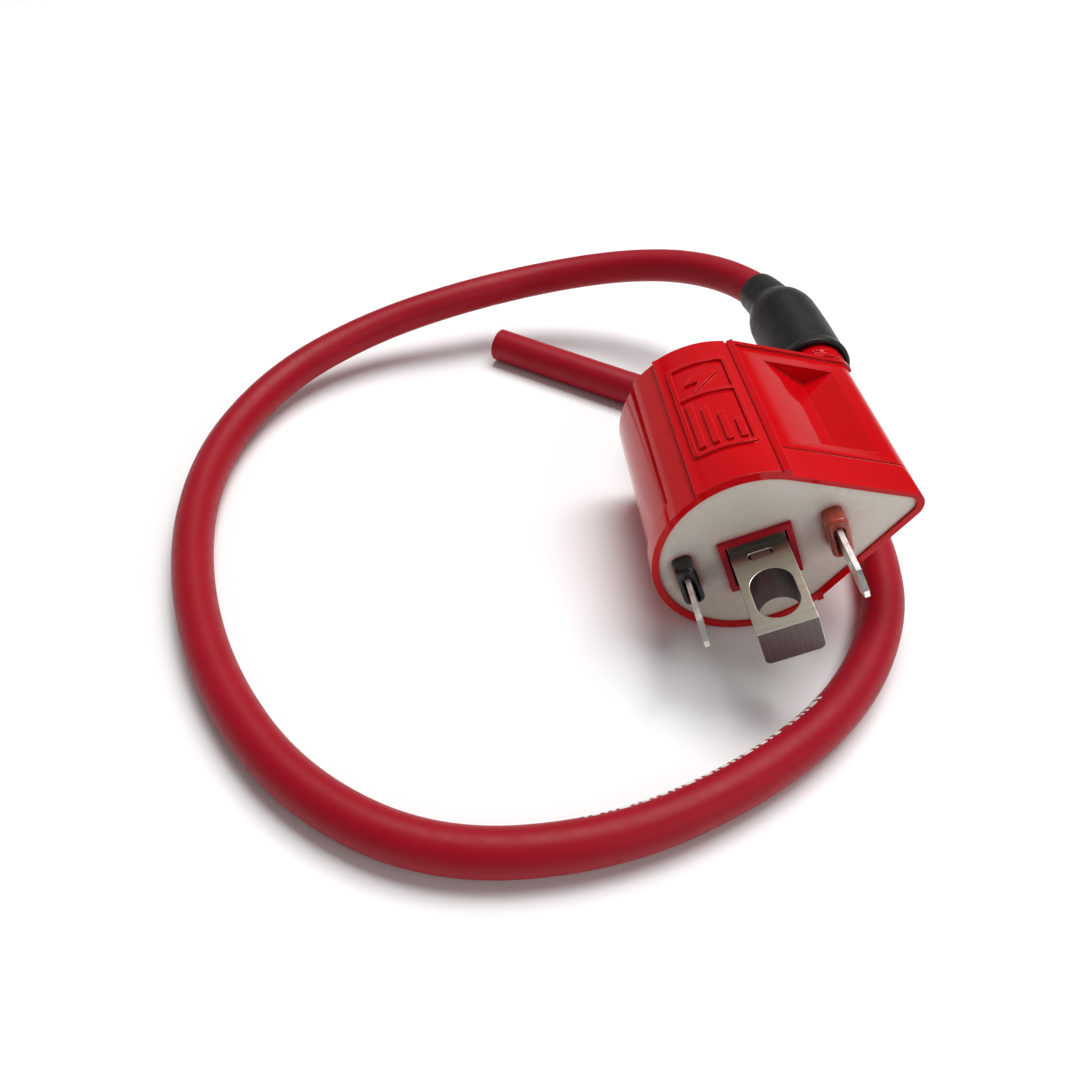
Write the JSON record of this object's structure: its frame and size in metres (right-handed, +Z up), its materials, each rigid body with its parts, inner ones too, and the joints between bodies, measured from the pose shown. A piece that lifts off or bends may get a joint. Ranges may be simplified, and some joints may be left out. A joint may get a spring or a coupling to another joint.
{
  "type": "ignition coil",
  "caption": "Potted ignition coil in a teardrop housing, with slotted core ears, push-on tabs and a booted high-tension lead ending in a bare cut.",
  "frame": {"origin": "on the bench, under the middle of the coil, boot and ears taken together, without the lead", "axes": "+Z up from the bench, +Y along the core from the potted face with the tabs to the lead's tower, +X to the tower side; the coil lies rolled 21.5 degrees onto its round belly"},
  "size_m": [0.1283, 0.1467, 0.0336],
  "materials": {
    "shell_red": "gloss moulded",
    "potting": "satin cast resin",
    "core_steel": "brushed, plated",
    "bobbin_red": "satin moulded",
    "copper_wire": "enamelled copper",
    "amber_tape": "glossy film",
    "bobbin_white": "moulded",
    "tinned_brass": "bright tinned",
    "sleeve_red": "glossy sleeve",
    "sleeve_black": "glossy sleeve",
    "solder": "soft solder",
    "brass": "turned",
    "lead_red": "satin silicone",
    "boot_black": "satin rubber"
  },
  "bodies": {
    "root": {"housing_shell": "shell_red", "potting_resin": "potting", "core_long_laminations": "core_steel", "core_short_laminations": "core_steel", "primary_bobbin": "bobbin_red", "primary_winding": "copper_wire", "interlayer_tape": "amber_tape", "secondary_bobbin": "bobbin_white", "secondary_winding": "copper_wire", "primary_terminal": "tinned_brass", "primary_terminal_sleeve": "sleeve_red", "ground_terminal": "tinned_brass", "ground_terminal_sleeve": "sleeve_black", "primary_feed_wire": "copper_wire", "primary_ground_wire": "copper_wire", "secondary_ground_wire": "copper_wire", "secondary_output_wire": "copper_wire", "solder_joints": "solder", "ht_insert": "brass", "ht_contact_screw": "brass", "lead_jacket": "lead_red", "lead_conductor": "copper_wire", "tower_boot": "boot_black"}
  },
  "joints": []
}
